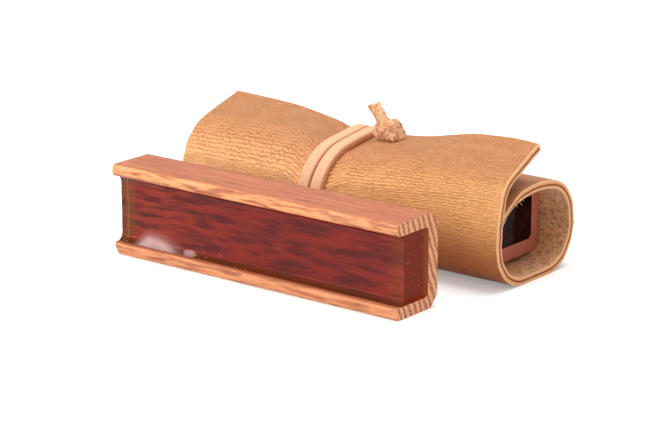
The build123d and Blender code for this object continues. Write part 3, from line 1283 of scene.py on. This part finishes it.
@dataclass
class LaceTurns:
    """The flat lace as one strand: under the flap, down the back, twice round the roll and tucked in.

    Sizes are in mm. It lies seat off the leather, which the turns press to a thickness of pressed.
    """

    roll: LeatherRoll
    width: float = 4.0
    thick: float = 2.0
    rounding: float = 0.62
    seat: float = 0.1
    pressed: float = 2.0
    pitch: float = 4.5
    hole: tuple[float, float] = (4.8, 16.4)
    neck_reach: float = 1.9
    under_flap: float = 2.2
    first_out: float = 0.2
    second_out: float = 2.3
    top_bend: float = 9.0
    foot_bend: float = 5.0
    foot_level: float = 3.5
    foot_end: float = 14.0
    slant_foot: float = 5.0
    slant_top: float = 27.0
    tuck: float = 12.5
    step: float = 0.45
    ease: float = 1.6

    def front_course(self, x: float) -> np.ndarray:
        """Inner face of a turn from under the roll, up its front and over the flap, on the leather.

        Args:
            x: where the turn lies along the roll.

        Returns:
            Rows of x, y and z.
        """
        lengths = self.roll.nominal()
        first = sum(lengths[:6]) + 0.45 * lengths[6]
        run = np.arange(first, sum(lengths), self.step)
        flat = np.stack([np.full_like(run, x), run, np.full_like(run, self.pressed + self.seat)], axis=1)
        return self.roll.roll(flat) / MM

    def bend(self, centre: np.ndarray, radius: float, begin: float, end: float) -> list[np.ndarray]:
        """Places a step apart round a bend, clockwise from one angle to another in radians."""
        angles = np.arange(begin, end, -self.step / radius)
        return [centre + radius * np.array([cos(angle), sin(angle)]) for angle in angles]

    def back_course(self, start: np.ndarray, out: float, over: bool, low: float | None) -> np.ndarray:
        """Inner face of the way down the back.

        Args:
            start: the last place of what comes before, as x, y and z.
            out: how far it lies from the leather's inner face at the back.
            over: whether it first bends over the flap's edge.
            low: the height where it ends, or none where it goes on under the roll.

        Returns:
            Rows of y and z.
        """
        centre = np.array([self.roll.back, self.roll.top]) - self.top_bend
        radius = self.top_bend + out
        here = start[1:]
        begin = pi / 2
        if over:
            edge = here + [1.5, -0.35]
            reach = centre - edge
            away = float(np.hypot(*reach))
            fall = np.arctan2(reach[1], reach[0]) + np.arcsin(radius / away)
            line = np.array([cos(fall), sin(fall)])
            taut = np.arange(self.step, (away**2 - radius**2) ** 0.5, self.step)
            rows = [here + [0.7, 0.0], edge, *(edge + line * part for part in taut)]
            begin += fall
        else:
            rows = [np.array([y, here[1]]) for y in np.arange(here[0], centre[0], self.step)]
        rows += self.bend(centre, radius, begin, 0)
        foot = np.array([self.roll.back - self.foot_bend, self.foot_level + self.foot_bend])
        end = foot[1] if low is None else low
        rows += [np.array([self.roll.back + out, z]) for z in np.arange(centre[1], end, -self.step)]
        if low is None:
            rows += self.bend(foot, self.foot_bend + out, 0, -pi / 2)
            under = np.arange(foot[0], self.foot_end, -self.step)
            rows += [np.array([y, self.foot_level - out]) for y in under]
        return np.array(rows)

    def slanted(self, rows: np.ndarray, high: float, low: float) -> np.ndarray:
        """Rows of y and z with an x that slants from low at the foot to high at the top."""
        return np.column_stack([low + rise(rows[:, 1], self.slant_foot, self.slant_top) * (high - low), rows])

    def course(self) -> np.ndarray:
        """Lead the whole strand's inner face, evenly spaced and eased.

        Returns:
            Rows of x, y and z in mm.
        """
        middle = self.roll.lace_middle
        right, left = middle + self.pitch / 2, middle - self.pitch / 2
        near = self.pressed + self.seat
        x, y = self.hole
        start = np.array([x, y - self.neck_reach, self.roll.top + self.under_flap + self.seat])
        first, second = self.front_course(right), self.front_course(left)
        line = np.concatenate([
            self.slanted(self.back_course(start, near + self.first_out, False, None), x, right),
            first,
            self.slanted(self.back_course(first[-1], near + self.second_out, True, None), right, left),
            second,
            self.slanted(self.back_course(second[-1], near, True, self.tuck), left, right),
        ])
        passed = np.concatenate([[0], np.cumsum(np.linalg.norm(np.diff(line, axis=0), axis=1))])
        line = read_rows(line, passed, np.arange(0, passed[-1], self.step))
        reach = int(3 * self.ease / self.step)
        weights = np.exp(-0.5 * (np.arange(-reach, reach + 1) * self.step / self.ease) ** 2)
        weights /= weights.sum()
        padded = np.pad(line, ((reach, reach), (0, 0)), mode="reflect", reflect_type="odd")
        return np.column_stack([np.convolve(column, weights, "valid") for column in padded.T])

    def build(self) -> None:
        """Cut the lace flat, wind it and dress it."""
        line = self.course()
        stops = np.arange(len(line))
        length = stops[-1] * self.step
        size, cells = (length, self.width), (len(line) - 1, 8)
        piece = cut_strip("lace_strand", size, (length / 2, 0), (0.0, self.thick), cells, self.rounding)
        run, across, depth = places(piece).T
        lay_flat_map(piece, "lace", run * MM, across * MM)
        edge = np.abs(across) / (self.width / 2)
        carry(piece, "side", rise(edge, 0.86, 1.0))
        crown = np.where(depth > self.thick * 0.6, 0.18 * (1 - edge**2) - 0.22 * edge**6, 0)
        wander = 0.12 * ripple(np.stack([run, 0 * run, 0 * run], axis=1), 9.0, 1.7)
        tangent = unit_rows(np.gradient(line, axis=0))
        outward = unit_rows(np.column_stack([np.zeros(len(line)), -tangent[:, 2], tangent[:, 1]]))
        middle, side, face = (
            read_rows(rows, stops, run / self.step) for rows in (line, np.cross(outward, tangent), outward)
        )
        points = middle + side * (across + wander)[:, None] + face * (depth + crown)[:, None]
        points[:, 2] = np.maximum(points[:, 2], 0.0)
        move_points(piece, points * MM)
        piece.data.materials.append(LaceLeather().make())
        face_outwards(piece)
        smooth_by_angle(piece, 40)
        finish_piece(piece, Body.ROLL, Slot.LACE, "lace_turns")


@dataclass(frozen=True)
class Lobe:
    """One bulge of the knot: a soft block, in mm and degrees."""

    place: Triple
    size: Triple
    turn: Triple = (0.0, 0.0, 0.0)


@dataclass
class LaceKnot:
    """The stopper knot in the flap's hole: lobes of the lace drawn tight, the neck and the cut tail."""

    lobes: tuple[Lobe, ...] = (
        Lobe((3.0, 16.0, 33.9), (5.6, 5.2, 5.0), (0, 12, 4)),
        Lobe((5.6, 16.8, 34.9), (4.2, 5.0, 5.2), (0, 28, 0)),
        Lobe((5.9, 15.2, 33.1), (6.2, 3.4, 2.3), (0, 4, -4)),
        Lobe((7.8, 16.6, 33.9), (5.4, 4.4, 2.6), (0, 56, 0)),
    )
    lobe_rounding: float = 0.42
    neck: Triple = (4.8, 16.4, 31.4)
    neck_radius: float = 1.5
    neck_height: float = 5.5
    voxel: float = 0.16
    fibre_size: float = 0.8
    lump_size: float = 1.9
    crease_depth: float = 0.16
    tail_foot: Triple = (3.7, 15.6, 35.9)
    tail_lean: float = -36.0
    tail_twist: float = 58.0
    tail_length: float = 7.0
    tail_root: float = 2.4
    tail_width: float = 3.7
    tail_thick: float = 1.9

    def block(self, lobe: Lobe) -> Piece:
        """Make a soft-edged block at a lobe's place.

        Args:
            lobe: the bulge that it makes.

        Returns:
            The block.
        """
        bpy.ops.object.select_all(action="DESELECT")
        bpy.ops.mesh.primitive_cube_add(
            size=1,
            location=tuple(part * MM for part in lobe.place),
            rotation=tuple(radians(part) for part in lobe.turn),
            scale=tuple(part * MM for part in lobe.size),
        )
        piece = bpy.context.object
        bpy.ops.object.transform_apply(location=True, rotation=True, scale=True)
        width = min(lobe.size) * self.lobe_rounding * MM
        apply_modifier(piece, "BEVEL", width=width, segments=5, limit_method="NONE")
        return piece

    def build(self) -> None:
        """Fuse and rough up the lobes and the neck, and add the tail."""
        lumps = [self.block(lobe) for lobe in self.lobes]
        bpy.ops.object.select_all(action="DESELECT")
        bpy.ops.mesh.primitive_cylinder_add(
            vertices=24,
            radius=self.neck_radius * MM,
            depth=self.neck_height * MM,
            location=tuple(part * MM for part in self.neck),
        )
        bpy.ops.object.transform_apply(location=True, rotation=True, scale=True)
        piece = join_up([*lumps, bpy.context.object], "lace_knot_lobes")
        apply_modifier(piece, "REMESH", mode="VOXEL", voxel_size=self.voxel * MM)
        points = places(piece)
        normals = np.empty(points.size)
        piece.data.vertices.foreach_get("normal", normals)
        rough = 0.08 * ripple(points * [1.6, 1.6, 0.5], self.fibre_size * MM, 5.0)
        rough += 0.12 * ripple(points, self.lump_size * MM, 9.0)
        creases = self.creases(points / MM)
        rough -= self.crease_depth * creases
        move_points(piece, points + normals.reshape(-1, 3) * rough[:, None] * MM)
        # the crease value also sets the knot's painted shade
        carry(piece, "crease", np.clip(creases * 0.8, 0, 1))
        piece.data.materials.append(KnotLeather("knot_leather").make())
        smooth_by_angle(piece, 60)
        finish_piece(piece, Body.ROLL, Slot.LACE, "lace_knot")
        self.tail()

    def creases(self, points: np.ndarray) -> np.ndarray:
        """Tell how deep each point lies in a crease, which is where two lobes are equally near.

        Args:
            points: rows of places in mm.

        Returns:
            The depths, from 0 to 1.
        """
        depths = []
        for lobe in self.lobes:
            turn = Matrix.Rotation(radians(lobe.turn[1]), 3, "Y")
            local = (points - lobe.place) @ np.array(turn)
            depths.append(np.max(np.abs(local) / (np.array(lobe.size) / 2), axis=1))
        nearest = np.sort(np.array(depths), axis=0)
        return rise(nearest[1] - nearest[0], 0.09, 0.0) * rise(nearest[0], 0.55, 0.85)

    def tail(self) -> None:
        """The lace's cut end, which stands up out of the knot and shows its rough side."""
        size = (self.tail_length + self.tail_root, self.tail_width)
        middle = ((self.tail_length - self.tail_root) / 2, 0)
        piece = cut_strip("lace_tail", size, middle, (0, self.tail_thick), (34, 16), 0.3)
        run, across, depth = places(piece).T
        lay_flat_map(piece, "lace", run * MM, across * MM)
        reach = rise(run, 0.0, self.tail_length)
        edge = rise(np.abs(across) / 1.8, 0.86, 1.0)
        # the crease value darkens one long side of the tail and, less, its edges
        carry(piece, "crease", 0.55 * np.where(across < -1.5, 1, 0) + 0.15 * edge)
        run = run - np.where(reach > 0.9, 0.12 * (across + 1.95), 0)
        flat = np.stack([run, across, depth], axis=1)
        wavy = 0.14 * ripple(flat, 1.3, 2.0) + 0.08 * ripple(flat, 0.5, 8.0)
        across = across * (1 - 0.10 * np.sin(reach * pi)) + wavy
        depth = (depth - 1.0) * (1 - 0.15 * reach) + 0.25 * np.sin(run * 0.5) + wavy * 0.6
        lean, twist = radians(self.tail_lean), radians(self.tail_twist)
        up = Vector((sin(lean), 0, cos(lean)))
        face = Vector((sin(twist), -cos(twist), 0))
        face = (face - up * face.dot(up)).normalized()
        rows = np.outer(run, up) + np.outer(across, up.cross(face)) + np.outer(depth, face)
        move_points(piece, (rows + self.tail_foot) * MM)
        fibre, root, pale = (0.75, 0.395, 0.188), (0.56, 0.21, 0.08), (0.81, 0.515, 0.29)
        piece.data.materials.append(KnotLeather("tail_leather", fibre, root, pale, 0.16).make())
        face_outwards(piece)
        smooth_by_angle(piece, 45)
        finish_piece(piece, Body.ROLL, Slot.LACE)


# The bars


@dataclass(frozen=True)
class RosinBar:
    """A cake of rosin cast in its wooden trough; sizes are in mm from the bar's left end, web and foot."""

    name: str
    body: Body
    upright: bool
    seed: float
    slices: tuple[int, int, int] = (84, 9, 14)
    length: float = 100.0
    worn_from: float = 15.6
    worn_depth: float = 2.0
    slope: float = 1.8
    slope_reach: float = 7.0
    foot_flange: float = 3.5
    cake_foot: float = 3.6
    cake_top: float = 22.7
    cake_web: float = 4.2
    cake_face: float = 13.9
    cake_sunk: float = 1.5
    cake_swollen: float = 0.25
    # painted shade: the stored cake's colours, nearly black as it looks in the roll's shade
    shaded_glow: Triple = (0.030, 0.006, 0.004)
    shaded_deep: Triple = (0.012, 0.003, 0.003)

    def worked(self, node: str, name: str) -> Piece:
        """Copy a CAD node's mesh, and merge and slice the copy finely enough to be worn.

        Args:
            node: the CAD node.
            name: the copy's name.

        Returns:
            The copy.
        """
        source = next(item for item in bpy.data.objects if item.get("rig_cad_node") == node)
        piece = bpy.data.objects.new(name, source.data.copy())
        piece.data.name = name
        bpy.context.scene.collection.objects.link(piece)
        piece.data.materials.clear()
        low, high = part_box(node)
        with editing(piece):
            bpy.ops.mesh.remove_doubles(threshold=1e-6)
            bpy.ops.mesh.dissolve_limited(angle_limit=radians(0.5))
            for axis, cuts in enumerate(self.slices):
                for share in np.linspace(0, 1, cuts + 2)[1:-1]:
                    if axis == 0 and not 0.06 <= share <= 0.94:
                        share = 0.5 - 0.5 * cos(pi * share)
                    place, normal = [0.0] * 3, [0.0] * 3
                    place[axis], normal[axis] = low[axis] + share * (high[axis] - low[axis]), 1.0
                    bpy.ops.mesh.select_all(action="SELECT")
                    bpy.ops.mesh.bisect(plane_co=place, plane_no=normal)
        return piece

    def local(self, points: np.ndarray) -> tuple[np.ndarray, np.ndarray, np.ndarray]:
        """Turn places in the frame into the bar's own.

        Args:
            points: rows of places in metres.

        Returns:
            Places along the bar from its left end, out from its web and up from its foot.
        """
        low, high = (np.array(corner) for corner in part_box(self.name + "_trough"))
        x, y, z = ((points - low) / MM).T
        if self.upright:
            return x, (high[1] - low[1]) / MM - y, z
        return x, z, y

    def shifted(
        self, points: np.ndarray, out: np.ndarray | float, up: np.ndarray, along: np.ndarray | float = 0
    ) -> np.ndarray:
        """Move points by distances in mm in the bar's own directions.

        Args:
            points: rows of places in metres.
            out: how far each goes out from the web.
            up: how far each goes up from the foot.
            along: how far each goes along the bar.

        Returns:
            The moved rows.
        """
        moved = points.copy()
        moved[:, 0] += along * MM
        moved[:, 1] += (-out if self.upright else up) * MM
        moved[:, 2] += (up if self.upright else out) * MM
        return moved

    def dress(self, piece: Piece, finish: bpy.types.Material, slot: Slot, node: str) -> None:
        """Give a worn piece its finish, ride it on its body and hide the CAD node that it takes the place of.

        Args:
            piece: the worn piece.
            finish: its material.
            slot: that material's slot.
            node: the CAD node that the piece takes the place of.
        """
        piece.data.materials.append(finish)
        smooth_by_angle(piece, 32)
        finish_piece(piece, self.body, slot, node)

    def build(self) -> None:
        """Wear and dress the trough and the cake."""
        self.build_trough()
        self.build_cake()

    def build_trough(self) -> None:
        """Wear the flanges' edges wavy and slope the lower flange's left end."""
        trough = self.worked(self.name + "_trough", self.name + "_wood_channel")
        points = places(trough)
        x, out, up = self.local(points)
        rows = np.stack([x, out * 0, up * 0], axis=1)
        tips = rise(out, self.worn_from, self.worn_from + self.worn_depth)
        wave = ripple(rows + [0, 0, 5.0], 7.0, self.seed) * 0.16 + ripple(rows, 2.1, self.seed + 3) * 0.06
        slope = rise(x, self.slope_reach, 0.0) * rise(out, 5.0, 11.0) * rise(up, self.foot_flange, 0.0)
        points = self.shifted(points, -np.abs(wave) * tips * 1.3, wave * tips * 0.5, self.slope * slope)
        if self.upright:
            points[:, 2] = np.maximum(points[:, 2], 0.0)
        move_points(trough, points)
        wood = TroughWood(self.name + "_wood")
        # painted shade: the stored bar's sawn ends are coloured darker, as they look in the roll's shade
        if not self.upright:
            wood = replace(wood, striped=0.3, end_pale=(0.56, 0.16, 0.085), end_dark=(0.28, 0.07, 0.035))
        self.dress(trough, wood.make(), Slot.WOOD, self.name + "_trough")

    def build_cake(self) -> None:
        """Let the cake shrink at its left end, swell at its right one and ripple on its face."""
        cake = self.worked(self.name + "_rosin", self.name + "_cake")
        points = places(cake)
        x, out, up = self.local(points)
        rim_gap = np.minimum(np.minimum(up - self.cake_foot, self.cake_top - up), out - self.cake_web)
        ends = self.cake_sunk * (x < 0.05) - self.cake_swollen * (x > self.length - 0.05)
        rows = np.stack([x, out, up], axis=1) * [0.25, 1, 1]
        swell = 0.10 * rise(out, self.cake_face, self.cake_face + 0.5) * ripple(rows, 5.0, self.seed + 6)
        move_points(cake, self.shifted(points, swell, 0 * x, ends * rise(rim_gap, 0.0, 3.0)))
        rosin = CastRosin(self.name + "_rosin", start=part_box(self.name + "_trough")[0].x / MM)
        # painted shade: the stored cake takes near-black colours, as in the roll's shade
        if not self.upright:
            rosin = replace(rosin, glow=self.shaded_glow, deep=self.shaded_deep, dressed=False, coat=0.12)
        self.dress(cake, rosin.make(), Slot.ROSIN, self.name + "_rosin")


BARS = (RosinBar("stored", Body.STORED, False, 2.0), RosinBar("loose", Body.LOOSE, True, 6.0))


def main() -> None:
    """Load the frame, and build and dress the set."""
    logging.basicConfig(level=logging.INFO, format="%(name)s: %(message)s")
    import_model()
    Camera().build()
    Studio().build()
    roll = LeatherRoll()
    roll.build()
    LaceTurns(roll).build()
    LaceKnot().build()
    for bar in BARS:
        bar.build()


if __name__ == "__main__":
    main()
